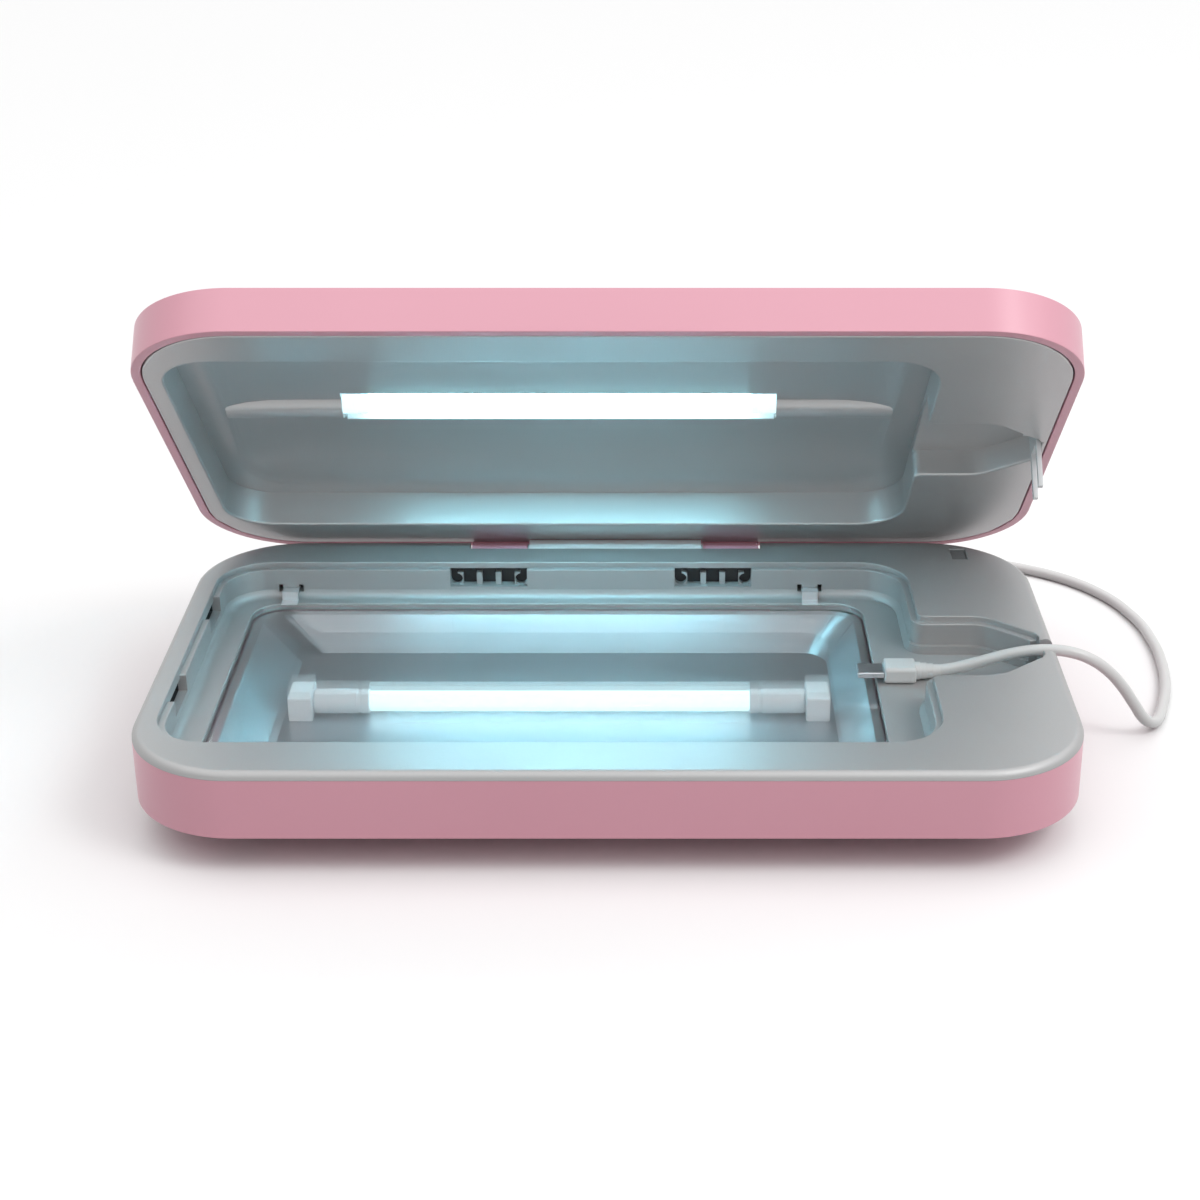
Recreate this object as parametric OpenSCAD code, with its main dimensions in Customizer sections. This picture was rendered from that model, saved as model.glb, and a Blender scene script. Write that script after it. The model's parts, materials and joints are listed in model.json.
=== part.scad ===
// Ultraviolet sanitizer box for a phone: a shallow base and a hinged lid, each
// with a tube lamp, with a charging lead laid through the side slot.
// Millimetres. +Z is up, the lid opens upwards at the front (-Y), the cable
// channel is at the right (+X). The origin is the centre of the footprint at
// the plane of the feet.

/* [Body] */
// Width of the box over the walls
body_w = 220; // [200:1:260]
// Depth of the box over the walls
body_d = 131; // [125:1:160]
// Radius of the four upright corners
corner_r = 26; // [20:1:30]
// Wall of the coloured shells
shell_t = 2.3; // [1.8:0.1:3]
// Height of the upright band of the base shell
base_band_h = 14.7; // [14:0.1:18]
// Height of the upright band of the lid shell
lid_band_h = 10.8; // [10:0.1:14]
// Depth of the curved underside
under_h = 8; // [7:0.1:9]
// Height of the curved top of the lid
crown_h = 8.8; // [8:0.1:10]
// Height of the rubber feet below the shell
foot_h = 1.5; // [1:0.1:3]
// Radius of a rubber foot
foot_r = 6; // [4:0.1:8]

/* [Tray] */
// Height of the rounded metal-look rim above the base shell
rim_h = 2; // [1.8:0.1:2.4]
// Thickness of the tray and liner walls
tray_t = 1.8; // [1.4:0.1:2.2]
// Left edge of the opening in the tray
open_left = -104.5; // [-106:0.1:-100]
// Right edge of the opening in the tray
open_right = 77.7; // [74:0.1:79]
// Half of the opening from front to rear
open_half = 50.8; // [48:0.1:51]
// Corner radius of the opening
open_r = 13; // [11:0.1:14]
// Width of the ledge just under the rim
ledge_w = 1.65; // [1.3:0.05:1.8]
// Depth of the ledge below the rim
ledge_drop = 1.5; // [1.2:0.1:2]
// Depth of the tray floor below the rim
tray_depth = 9.5; // [9:0.1:10]
// Fillet between the tray wall and its floor
floor_fillet = 2.2; // [1.5:0.1:2.6]
// Half width of the cable channel
channel_half = 16.6; // [15:0.1:18]
// Where the channel walls start to close in
channel_taper_x = 91; // [89:0.1:92]
// Right end of the cable channel
channel_end = 106.3; // [106:0.1:106.6]

/* [Lid] */
// Angle at which the lid stands open
lid_open = 44.3; // [0:0.1:90]
// Gap between the closed lid and the rim
lid_gap = 0.3; // [0.2:0.05:0.5]
// Height of the hinge axis above the top of the base shell's band, negative below
hinge_z_offset = -2; // [-2.1:0.05:-1.9]
// Distance of the hinge axis in front of the rear face
hinge_inset = 2.15; // [2:0.05:2.4]
// Depth of the upright wall inside the lid
liner_wall_h = 9.4; // [9:0.1:10]
// Further depth of the arched ceiling inside the lid
dish_h = 2.6; // [2:0.1:2.8]
// Flat ledge round the arched ceiling
dish_ledge = 5.3; // [4:0.1:6]

/* [Hinge] */
// Radius of the hinge pins
pin_r = 1.5; // [1.2:0.1:1.8]
// Half length of the fixed hinge block
block_half = 23.45; // [20:0.05:26]
// Radius of the fixed hinge block
block_r = 4.8; // [4.6:0.05:4.9]
// Radius of the lid's hinge knuckles
knuckle_r = 3.9; // [3.5:0.05:4]
// Length of each knuckle
knuckle_len = 15.1; // [12:0.1:18]
// Thickness of the wave washers
washer_t = 0.4; // [0.3:0.05:0.45]

/* [Lamps] */
// Radius of the glass tubes
tube_r = 2.6; // [2.2:0.1:2.8]
// Length of bare glass between the caps
tube_len = 95; // [80:1:110]
// Radius of the caps on the tubes
cap_r = 3.1; // [2.9:0.05:3.3]
// Length of each cap
cap_len = 14; // [12:0.5:16]
// Centre of both lamps along X
lamp_x = -13; // [-20:1:-6]
// Depth of the upper lamp's axis above the lid's rim
lamp_depth = 13.5; // [13.2:0.1:13.7]
// Outer radius of the covers over the ends of the upper lamp
cover_r = 4.3; // [4.2:0.05:4.5]
// Length of each of those covers
cover_len = 29; // [26:0.5:31]
// Height of the lower lamp's axis above the inside of the reflector pan
lower_lamp_h = 3.4; // [3.3:0.1:3.6]

/* [Lead] */
// Diameter of the charging lead
lead_d = 2.9; // [2.9:0.1:3]

/* [Hidden] */

// Fineness of true arcs, of the rounded shells and of the smaller blends
$fn = 64;
shell_fn = 96;
blend_fn = 32;
// A cut runs past the face it leaves by this much
past = 1;
// Gap between neighbours that are fixed to each other
seat = 0.1;
// Running gap between a pin and its bore, and between the lid and what it passes
run = 0.05;
swing = 0.3;

// Heights of the base
under_z = foot_h;
band_z = under_z + under_h;
band_top = band_z + base_band_h;
rim_z = band_top + rim_h;
floor_z = rim_z - tray_depth;
ledge_z = rim_z - ledge_drop;
rear_y = body_d / 2;
side_x = body_w / 2;

// The edges of the opening are given for a body of this width and depth, and go
// along with its sides when the body is made larger or smaller
given_w = 220;
given_d = 131;
grow_x = (body_w - given_w) / 2;
grow_y = (body_d - given_d) / 2;
left_x = open_left - grow_x;
right_x = open_right + grow_x;
half_y = open_half + grow_y;
taper_x = channel_taper_x + grow_x;
end_x = channel_end + grow_x;

// Heights of the closed lid
lid_z = rim_z + lid_gap;
lid_band_top = lid_z + lid_band_h;
lid_top = lid_band_top + crown_h;
liner_gap = 0.3;
hinge_y = rear_y - hinge_inset;
hinge_z = band_top + hinge_z_offset;
lamp_z = lid_z + lamp_depth;
dish_z = lid_z + liner_wall_h;

// The crown and the underside close in by these shares of their reach
crown_reach = 34;
crown_steps = [[0, 0], [0.08, 0.15], [0.22, 0.4], [0.42, 0.67], [0.68, 0.89], [1, 1]];

function arc(c, r, a0, a1, n = 8) =
    [for (i = [0:n]) let (a = a0 + (a1 - a0) * i / n) c + r * [cos(a), sin(a)]];

// Outline of the tray opening with its cable channel, drawn in by e
taper_a = 50;
taper_r = 9;
tip_r = 2.5;
neck_r = 2;
function opening_half(e, x0, x1, half, r, ch, taper_x, end) =
    let (
        c2 = [taper_x, ch - taper_r],
        c1x = end - tip_r,
        c1y = (([cos(taper_a), sin(taper_a)] * c2) + taper_r - tip_r - cos(taper_a) * c1x) / sin(taper_a)
    ) concat(
        arc([c1x, c1y], max(tip_r - e, 0.4), 0, taper_a),
        arc(c2, taper_r - e, taper_a, 90),
        arc([x1 + neck_r, ch + neck_r], neck_r + e, 270, 180),
        arc([x1 - r, half - r], r - e, 0, 90),
        arc([x0 + r, half - r], r - e, 90, 180)
    );
function opening(e, x0, x1, half, r, ch, taper_x, end) =
    let (
        up = opening_half(e, x0, x1, half, r, ch, taper_x, end),
        n = len(up)
    ) concat(up, [for (i = [n - 1:-1:0]) [up[i][0], -up[i][1]]]);
function tray_opening(e) =
    opening(e, left_x, right_x, half_y, open_r, channel_half, taper_x, end_x);

// The lid's opening is a little smaller all round
lid_less = 0.9;
function lid_opening(e) = opening(
    e, left_x + lid_less + 0.6, right_x - lid_less, half_y - lid_less, open_r - lid_less,
    channel_half - lid_less, taper_x - lid_less, end_x - 0.7
);

module rounded(w, d, r) {
    square([w, d - 2 * r], center = true);
    square([w - 2 * r, d], center = true);
    for (x = [-1, 1], y = [-1, 1])
        translate([x * (w / 2 - r), y * (d / 2 - r)])
            circle(r = r);
}

// A slab of the body's outline, drawn in by e
module slab(z0, z1, e = 0) {
    translate([0, 0, z0])
        linear_extrude(z1 - z0)
            rounded(body_w - 2 * e, body_d - 2 * e, corner_r - e);
}

// A crown over the body's outline: dir is 1 for the lid's top and -1 for the underside
leaf = 0.02;
module crown(z, height, dir, e = 0) {
    hull()
        for (s = crown_steps)
            translate([0, 0, z + dir * s[1] * height - (dir > 0 ? leaf : 0)])
                linear_extrude(leaf)
                    rounded(
                        body_w - 2 * (e + s[0] * crown_reach),
                        body_d - 2 * (e + s[0] * crown_reach),
                        max(corner_r - e - s[0] * crown_reach, 4),
                        $fn = shell_fn
                    );
}

module box(x0, x1, y0, y1, z0, z1) {
    translate([x0, y0, z0])
        cube([x1 - x0, y1 - y0, z1 - z0]);
}

// A round bar along X, and one along Y
module rod_x(x0, x1, y, z, r) {
    translate([x0, y, z])
        rotate([0, 90, 0])
            cylinder(h = x1 - x0, r = r);
}
module rod_y(x, y0, y1, z, r) {
    translate([x, y0, z])
        rotate([-90, 0, 0])
            cylinder(h = y1 - y0, r = r);
}
module rod_z(x, y, z0, z1, r) {
    translate([x, y, z0])
        cylinder(h = z1 - z0, r = r);
}

// Pieces of the lid are drawn closed and stand open by lid_open
module opened() {
    translate([0, hinge_y, hinge_z])
        rotate([-lid_open, 0, 0])
            translate([0, -hinge_y, -hinge_z])
                children();
}

// Base shell
screw_corner = [26, 8.3];
screw_side = [8.8, 29.5];
screw_spots = [
    for (s = [1, -1]) each [
        [screw_corner[0] - side_x, s * (rear_y - screw_corner[1])],
        [side_x - screw_side[0], s * (rear_y - screw_side[1])]
    ]
];
boss_r = 3.2;
screw_r = 1.5;
screw_head_r = 2.8;
screw_head_h = 2;
cross_l = 3.2;
cross_w = 0.7;
seat_z = band_z + 1;
boss_z = seat_z + 2.4;
slot_half = 3.2;
slot_z = rim_z - 3.4;
notch_r = block_r + 0.2;
notch_half = block_half + 0.55 + knuckle_len + 0.5;
ear_len = 5.4;
ear_front = hinge_y - 3.6;
ear_bottom = hinge_z - 4.6;
pin_end = notch_half + 4.4;
board_t = 1.6;
port_z = band_z + 5.2;
port_a = [side_x - 60, 13.6, 6.2];
port_c = [side_x - 44, 9.2, 3.4];
inlet_x = side_x - 32;
inlet_w = 9;
inlet_h = 7.6;
inlet_r = 2.75;
inlet_pin_r = 0.9;
charge_board_z = port_z - port_a[2] / 2 - board_t;
control_board_z = band_z - 0.3;
control_board_x = [side_x - 30, side_x - 13];
control_board_y = rear_y - 19.5;
board_edge = 2;
post_r = 2;
post_inset = 11;
charge_posts_x = [port_a[0] - 5, inlet_x + 2];
charge_post_foot = 4;
control_posts_x = [control_board_x[0] + board_edge, control_board_x[1] - board_edge];
control_post_foot = 3;

module hinge_notch() {
    rod_x(-notch_half, notch_half, hinge_y, hinge_z, notch_r);
}

module bottom_shell() {
    color("#c48a96")
        difference() {
            union() {
                difference() {
                    union() {
                        slab(band_z, band_top);
                        crown(band_z, under_h, -1);
                    }
                    slab(band_z + shell_t, band_top + past, shell_t);
                    intersection() {
                        slab(0, band_top, shell_t);
                        crown(band_z + shell_t, under_h, -1);
                    }
                }
                for (p = screw_spots)
                    rod_z(p[0], p[1], band_z - shell_t, boss_z, screw_head_r + 1.4);
                for (s = [-1, 1])
                    scale_x(s)
                        box(notch_half, notch_half + ear_len, ear_front, rear_y - shell_t / 2,
                            ear_bottom, band_top);
                for (x = charge_posts_x)
                    rod_z(x, rear_y - post_inset, under_z + charge_post_foot, charge_board_z, post_r);
                for (x = control_posts_x, s = [-1, 1])
                    rod_z(x, s * (control_board_y - 3 * board_edge), under_z + control_post_foot,
                        control_board_z, post_r);
            }
            hinge_notch();
            rod_x(-pin_end, pin_end, hinge_y, hinge_z, pin_r + run);
            box(side_x - shell_t - past, side_x + past, -slot_half, slot_half, slot_z, band_top + past);
            port_cut(port_a[0], port_a[1], port_a[2]);
            port_cut(port_c[0], port_c[1], port_c[2]);
            port_cut(inlet_x, inlet_w, inlet_h);
            for (p = screw_spots) {
                rod_z(p[0], p[1], 0, seat_z, screw_head_r + 0.4);
                rod_z(p[0], p[1], 0, boss_z + past, screw_r + 0.1);
            }
        }
}
// The mirror image in X for s = -1
module scale_x(s) {
    if (s > 0) children();
    else mirror([1, 0, 0]) children();
}
module port_cut(x, w, h) {
    box(x - w / 2 - seat, x + w / 2 + seat, rear_y - 2 * shell_t - past, rear_y + past,
        port_z - h / 2 - seat, port_z + h / 2 + seat);
}

// Tray of the base
cup_out = 0.5;
blend_step = 0.05;
wall_x = right_x - ledge_w;
plate_x0 = left_x + 8.5;
plate_x1 = right_x - 11.7;
plate_half = half_y - 5.8;
plate_r = 8;
plate_t = 2;
plate_rest = 2;
groove_x = [end_x - 2.3, end_x + 0.3];
groove_half = 5.5;
groove_z = 14;
vents = [-33.85, 26.4];
vent_w = 20.6;
vent_top = rim_z - 2.95;
vent_h = 3.5;
vent_bar = 1.5;
vent_open = 3.6;
vent_end = 1.85;
vent_round = 1.6;
ports_y = [25, -20.8];
port_len = 14;
port_top = rim_z - 2.7;
port_h = 3;
clips_x = [plate_x0 + 9, plate_x1 - 13.6];
clip_w = 4.3;
clip_gap = 1.15;
clip_t = 0.5;
notch_z = [floor_z + 1.7, floor_z + 3.7];
notch_depth = 2.5;
clip_z = [floor_z + 1.9, floor_z + 2.7];
window_x = [side_x - 19, side_x - 15];
window_y = [rear_y - 12.5, rear_y - 5.5];
bracket_half = 20;
bracket_y = [rear_y - 8.9, rear_y - 7.1];
bracket_z = band_z + 3;

module pocket(z0, z1, x0, x1, half, r, e) {
    translate([0, 0, z0])
        linear_extrude(z1 - z0)
            translate([(x0 + x1) / 2, 0])
                rounded(x1 - x0 - 2 * e, 2 * (half - e), max(r - e, 3));
}

// Section of the rim across the body, w wide, with quarter-round edges
module rim_section(w) {
    translate([-w / 2 + rim_h, 0])
        square([w - 2 * rim_h, rim_h]);
    for (x = [-1, 1])
        intersection() {
            translate([x * (w / 2 - rim_h), 0])
                circle(r = rim_h);
            translate([x * (w / 2 - rim_h / 2), rim_h / 2])
                square([rim_h, rim_h], center = true);
        }
}

// The rounded rim that lies on the base shell's wall
module rim_lip() {
    translate([0, 0, band_top]) {
        rotate([90, 0, 0])
            linear_extrude(body_d - 2 * corner_r, center = true)
                rim_section(body_w);
        rotate([90, 0, 90])
            linear_extrude(body_w - 2 * corner_r, center = true)
                rim_section(body_d);
        for (x = [-1, 1], y = [-1, 1])
            translate([x * (body_w / 2 - corner_r), y * (body_d / 2 - corner_r), 0])
                rotate_extrude()
                    intersection() {
                        rim_section(2 * corner_r);
                        square([corner_r, rim_h]);
                    }
    }
}

module base_tray() {
    rim_under = band_top - 1.4;
    color("#a5a6a8")
        difference() {
            union() {
                rim_lip();
                slab(rim_under, band_top + leaf, shell_t + 0.2);
                translate([0, 0, floor_z - tray_t])
                    linear_extrude(band_top - floor_z + tray_t)
                        polygon(tray_opening(-cup_out));
                for (p = screw_spots)
                    rod_z(p[0], p[1], boss_z, band_top, boss_r);
                for (x = vents)
                    box(x - vent_w / 2 - 1, x + vent_w / 2 + 1, half_y, half_y + tray_t,
                        vent_top - vent_h - 1, band_top);
                for (x = clips_x, s = [-1, 1])
                    box(x - clip_w, x + clip_w, s * (half_y + 0.7) - 0.7, s * (half_y + 0.7) + 0.7,
                        floor_z, notch_z[1] + 1);
                box(-bracket_half, bracket_half, bracket_y[0], bracket_y[1], bracket_z, band_top);
                box(groove_x[1] - 1, groove_x[1] + 0.9, -groove_half - 1, groove_half + 1,
                    groove_z - 1, band_top);
            }
            translate([0, 0, ledge_z])
                linear_extrude(rim_h + past + 2)
                    polygon(tray_opening(0));
            translate([0, 0, floor_z + floor_fillet])
                linear_extrude(rim_z - floor_z)
                    polygon(tray_opening(ledge_w));
            hull()
                for (a = [0, 30, 60, 90])
                    let (e = ledge_w + blend_step + floor_fillet * (1 - sin(a)))
                        pocket(floor_z + floor_fillet * (1 - cos(a)),
                            floor_z + floor_fillet * (1 - cos(a)) + (a == 90 ? past : leaf),
                            left_x, right_x, half_y, open_r, e, $fn = blend_fn);
            translate([0, 0, floor_z])
                linear_extrude(floor_fillet + leaf)
                    channel_floor();
            pocket(floor_z - plate_rest, floor_z + past, plate_x0, plate_x1, plate_half, plate_r, 0);
            pocket(floor_z - tray_t - past, floor_z, plate_x0, plate_x1, plate_half, plate_r, plate_rest);
            box(groove_x[0], groove_x[1], -groove_half, groove_half, groove_z, rim_z);
            box(groove_x[0], side_x + past, -slot_half, slot_half, slot_z, rim_z + past);
            hinge_notch();
            box(-notch_half, notch_half, hinge_y, rear_y + past, hinge_z, rim_z + past);
            for (s = [-1, 1])
                scale_x(s)
                    box(notch_half - 0.2, notch_half + ear_len + 0.2, ear_front - 0.2, rear_y + past,
                        rim_under - past, band_top);
            for (p = screw_spots)
                rod_z(p[0], p[1], boss_z - past, band_top - 1, screw_r + 0.02);
            for (s = [-1, 1])
                rod_y(s * block_screw_x, bracket_y[0] - past, bracket_y[1] + past,
                    block_screw_z, block_screw_r);
            for (x = vents)
                vent_cut(x);
            for (y = ports_y)
                box(left_x - 3, left_x + ledge_w + 0.1, y - port_len / 2, y + port_len / 2,
                    port_top - port_h, port_top);
            for (y = ports_y)
                box(left_x, left_x + ledge_w + 0.1, y - port_len / 2, y + port_len / 2,
                    port_top - 0.1, ledge_z + 0.1);
            for (x = clips_x, s = [-1, 1], t = [-1, 1])
                translate([x + t * (clip_w + clip_gap) / 2, s * half_y, 0])
                    box(-clip_gap / 2, clip_gap / 2, -notch_depth, notch_depth, notch_z[0], notch_z[1]);
            for (x = clips_x, s = [-1, 1])
                translate([x, s * half_y, 0])
                    box(-clip_w / 2 - seat, clip_w / 2 + seat, -notch_depth, notch_depth,
                        clip_z[0] - seat, clip_z[1] + seat);
            box(window_x[0], window_x[1], window_y[0], window_y[1], rim_under - past, rim_z + past);
        }
}
module channel_floor() {
    e = ledge_w + 1.2;
    intersection() {
        polygon(tray_opening(e));
        translate([right_x - 8, -body_d / 2])
            square([40, body_d]);
    }
}
module vent_cut(x) {
    low = vent_top - vent_h;
    y0 = half_y - 1;
    y1 = half_y + tray_t + past;
    // The wall steps back behind the ledge, and is open above the bars
    box(x - vent_w / 2, x + vent_w / 2, half_y - ledge_w - 0.1, half_y, low, ledge_z + 0.1);
    box(x - vent_w / 2, x + vent_w / 2, y0, y1, vent_top - 0.1, ledge_z - 0.2);
    for (i = [-1:1])
        box(x + i * (vent_open + vent_bar) - vent_open / 2, x + i * (vent_open + vent_bar) + vent_open / 2,
            y0, y1, low, vent_top);
    // The outer two openings have a round lower corner
    for (s = [-1, 1])
        translate([x, 0, 0])
            scale_x(s) {
                x0 = 1.5 * vent_open + 2 * vent_bar;
                box(x0, x0 + vent_end, y0, y1, low + vent_round, vent_top);
                box(x0, x0 + vent_end - vent_round, y0, y1, low, vent_top);
                rod_y(x0 + vent_end - vent_round, y0, y1, low + vent_round, vent_round);
            }
}

module quartz_plate() {
    color("#cfe6ee", 0.4)
        pocket(floor_z - plate_rest, floor_z - plate_rest + plate_t, plate_x0, plate_x1,
            plate_half, plate_r, seat);
}

module plate_clips() {
    bend = half_y - ledge_w - floor_fillet - seat;
    color("#d8dadc")
        for (x = clips_x, s = [0, 1])
            mirror([0, s, 0]) {
                box(x - clip_w / 2, x + clip_w / 2, bend - clip_t, half_y + 1.2, clip_z[0], clip_z[1]);
                box(x - clip_w / 2, x + clip_w / 2, bend - clip_t, bend, floor_z, clip_z[1]);
                box(x - clip_w / 2, x + clip_w / 2, plate_half - 1.2, bend, floor_z, floor_z + clip_t);
            }
}

// Lower lamp and its reflector pan
pan_t = 1;
pan_top = floor_z - plate_rest - 0.1;
pan_floor = under_z + 5.6;
pan_slope = 9;
pan_room = 3;
lower_z = pan_floor + lower_lamp_h;
module pan_solid(e, z0, z1) {
    reach = cap_end + socket_len + pan_room;
    hull() {
        pocket(z1 - leaf, z1, plate_x0, plate_x1, plate_half, plate_r, e, $fn = blend_fn);
        pocket(z0, z0 + leaf, lamp_x - reach, lamp_x + reach, plate_half - pan_slope,
            plate_r, e, $fn = blend_fn);
    }
}
module lower_reflector() {
    color("#c9ccd0")
        difference() {
            pan_solid(0.6, pan_floor - pan_t, pan_top);
            pan_solid(0.6 + pan_t, pan_floor, pan_top + past);
        }
}
module lamp_tube(z) {
    rod_x(lamp_x - tube_len / 2, lamp_x + tube_len / 2, 0, z, tube_r);
}
module lamp_caps(z) {
    for (s = [-1, 1])
        translate([lamp_x + s * (tube_len + cap_len) / 2, 0, 0])
            rod_x(-cap_len / 2, cap_len / 2, 0, z, cap_r);
}
cap_end = tube_len / 2 + cap_len;
socket_len = 6;
module lower_lamp_tube() {
    color("#f2fbff", 0.7) lamp_tube(lower_z);
}
module lower_lamp_caps() {
    color("#f4f4f2") lamp_caps(lower_z);
}
module lower_lamp_sockets() {
    color("#e8e8e4")
        for (s = [-1, 1])
            scale_at(s)
                box(cap_end, cap_end + socket_len, -5, 5, pan_floor, lower_z + cap_r);
}
module scale_at(s) {
    translate([lamp_x, 0, 0])
        scale_x(s)
            children();
}

// Electronics of the base
wide_port_depth = 13;
small_port_depth = 9;
inlet_depth = 10;
inverter_l = 18;
inverter_h = 8;
module control_board() {
    color("#2f6b46")
        box(control_board_x[0], control_board_x[1], -control_board_y, control_board_y,
            control_board_z, control_board_z + board_t);
}
module lamp_inverter() {
    color("#e6c84a")
        for (s = [-1, 1])
            translate([0, s * (control_board_y - inverter_l / 2 - 2 * board_edge), 0])
                box(control_board_x[0] + board_edge, control_board_x[1] - board_edge / 2,
                    -inverter_l / 2, inverter_l / 2,
                    control_board_z + board_t, control_board_z + board_t + inverter_h);
}
module charge_board() {
    color("#2f6b46")
        box(port_a[0] - port_a[1] / 2 - 1, inlet_x + inlet_w / 2 + 1, rear_y - wide_port_depth - 0.3,
            rear_y - wide_port_depth + 7.5, charge_board_z, charge_board_z + board_t);
}
module port_shell(x, w, h, wall, depth) {
    difference() {
        box(x - w / 2, x + w / 2, rear_y - depth, rear_y - 0.3, port_z - h / 2, port_z + h / 2);
        box(x - w / 2 + wall, x + w / 2 - wall, rear_y - depth + 1, rear_y + past,
            port_z - h / 2 + wall, port_z + h / 2 - wall);
    }
}
module wide_charge_port() {
    color("#b8babd") port_shell(port_a[0], port_a[1], port_a[2], 0.5, wide_port_depth);
}
module small_charge_port() {
    color("#b8babd") {
        port_shell(port_c[0], port_c[1], port_c[2], 0.4, small_port_depth);
        box(port_c[0] - 3, port_c[0] + 3, rear_y - small_port_depth + 1, rear_y - 1.4,
            port_z - 0.3, port_z + 0.3);
        box(port_c[0] - 3.4, port_c[0] + 3.4, rear_y - small_port_depth, rear_y - small_port_depth + 3,
            charge_board_z + board_t, port_z - port_c[2] / 2);
    }
}
module power_inlet() {
    color("#222222") {
        difference() {
            box(inlet_x - inlet_w / 2, inlet_x + inlet_w / 2, rear_y - wide_port_depth, rear_y - 0.3,
                charge_board_z + board_t, port_z + inlet_h / 2 - 0.8);
            rod_y(inlet_x, rear_y - inlet_depth, rear_y + past, port_z, inlet_r);
        }
        rod_y(inlet_x, rear_y - inlet_depth, rear_y - 1.5, port_z, inlet_pin_r);
    }
}

feet = [for (x = [-1, 1], y = [-1, 1]) [x * (side_x - 38), y * (rear_y - 35.5)]];
module rubber_feet() {
    color("#3a3a3c")
        for (p = feet)
            rod_z(p[0], p[1], 0, foot_h, foot_r);
}
module base_screws() {
    color("#8d9094")
        for (p = screw_spots)
            difference() {
                union() {
                    rod_z(p[0], p[1], seat_z - screw_head_h, seat_z, screw_head_r);
                    rod_z(p[0], p[1], seat_z, band_top - 2, screw_r);
                }
                translate([p[0], p[1], seat_z - screw_head_h - past])
                    for (a = [0, 90])
                        rotate([0, 0, a])
                            box(-cross_l / 2, cross_l / 2, -cross_w / 2, cross_w / 2, 0, past + 1);
            }
}

// Hinge parts of the base
foot_y = [bracket_y[1], rear_y - 2.9];
pin_start = 12;
block_screw_x = 14;
block_screw_r = 1.2;
block_screw_z = bracket_z + 3;
module hinge_block() {
    color("#b9b6b8")
        difference() {
            union() {
                rod_x(-block_half, block_half, hinge_y, hinge_z, block_r);
                box(-bracket_half, bracket_half, foot_y[0], foot_y[1], bracket_z, hinge_z);
            }
            for (s = [-1, 1])
                scale_x(s)
                    rod_x(pin_start, block_half + past, hinge_y, hinge_z, pin_r + run);
            for (s = [-1, 1])
                rod_y(s * block_screw_x, foot_y[0] - past, foot_y[1] - 0.6, block_screw_z, block_screw_r);
        }
}
module hinge_pins() {
    color("#c8cacc")
        for (s = [-1, 1])
            scale_x(s)
                rod_x(pin_start + 0.2, pin_end - 0.2, hinge_y, hinge_z, pin_r);
}
module hinge_washers() {
    color("#8d9094")
        for (s = [-1, 1])
            scale_x(s)
                difference() {
                    rod_x(block_half + run, block_half + run + washer_t, hinge_y, hinge_z, knuckle_r - 0.4);
                    rod_x(block_half - past, block_half + past, hinge_y, hinge_z, pin_r + run);
                }
}
module hinge_screws() {
    color("#8d9094")
        for (s = [-1, 1]) {
            rod_y(s * block_screw_x, bracket_y[0], foot_y[1] - 0.8, block_screw_z, block_screw_r - 0.02);
            rod_y(s * block_screw_x, bracket_y[0] - 1.4, bracket_y[0], block_screw_z, 2.3);
        }
}

module lid_sensor_window() {
    color("#4a4b4d")
        box(window_x[0] + seat, window_x[1] - seat, window_y[0] + seat, window_y[1] - seat,
            band_top - 1.4, rim_z - 0.4);
}
module lid_sensor() {
    color("#1d1d1f")
        box(window_x[0] - 1, window_x[1] + 1, window_y[0] + 1, window_y[1] - 2,
            band_top - 3.4, band_top - 1.4);
}
magnets_x = [lamp_x - 57, lamp_x + 57];
magnet_y = -(rear_y - shell_t + half_y + cup_out) / 2;
magnet_r = 4;
magnet_h = 3;
module base_magnets() {
    color("#9b9ea2")
        for (x = magnets_x)
            rod_z(x, magnet_y, band_top - 1.4 - magnet_h, band_top - 1.4, magnet_r);
}
module sound_ducts() {
    color("#6d6f72")
        for (y = ports_y)
            difference() {
                box(-side_x + shell_t + seat, left_x - cup_out, y - port_len / 2 - 1,
                    y + port_len / 2 + 1, port_top - port_h - 1, band_top - 1.4);
                box(-side_x + shell_t + 0.8, left_x, y - port_len / 2, y + port_len / 2,
                    port_top - port_h, port_top);
            }
}

// Lid shell, with the knuckles that the pins go through
knuckle_x = block_half + 0.55;
module lid_shell() {
    color("#f2afbf")
        opened()
            difference() {
                union() {
                    difference() {
                        union() {
                            slab(lid_z, lid_band_top);
                            crown(lid_band_top, crown_h, 1);
                        }
                        slab(lid_z - past, lid_band_top - shell_t, shell_t);
                        intersection() {
                            slab(lid_z, lid_top, shell_t);
                            crown(lid_band_top - shell_t, crown_h, 1);
                        }
                        rod_z(0, lens_y, lid_band_top, lid_top + past, lens_r + seat);
                    }
                    for (s = [-1, 1])
                        scale_x(s) {
                            rod_x(knuckle_x, knuckle_x + knuckle_len, hinge_y, hinge_z, knuckle_r);
                            box(knuckle_x, knuckle_x + knuckle_len, rear_y - shell_t, rear_y,
                                hinge_z, lid_z + 1);
                        }
                    for (s = [-1, 1])
                        rod_z(s * 6, lens_y, status_z + status_t, lid_top - shell_t + 0.1, 1.5);
                }
                rod_x(-block_half - 0.3, block_half + 0.3, hinge_y, hinge_z, block_r + swing);
                for (s = [-1, 1])
                    scale_x(s)
                        rod_x(knuckle_x - past, knuckle_x + knuckle_len + past, hinge_y, hinge_z,
                            pin_r + run);
            }
}

lens_y = -30;
lens_r = 3;
status_z = lid_top - shell_t - 3.2;
status_t = 1;

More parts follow.
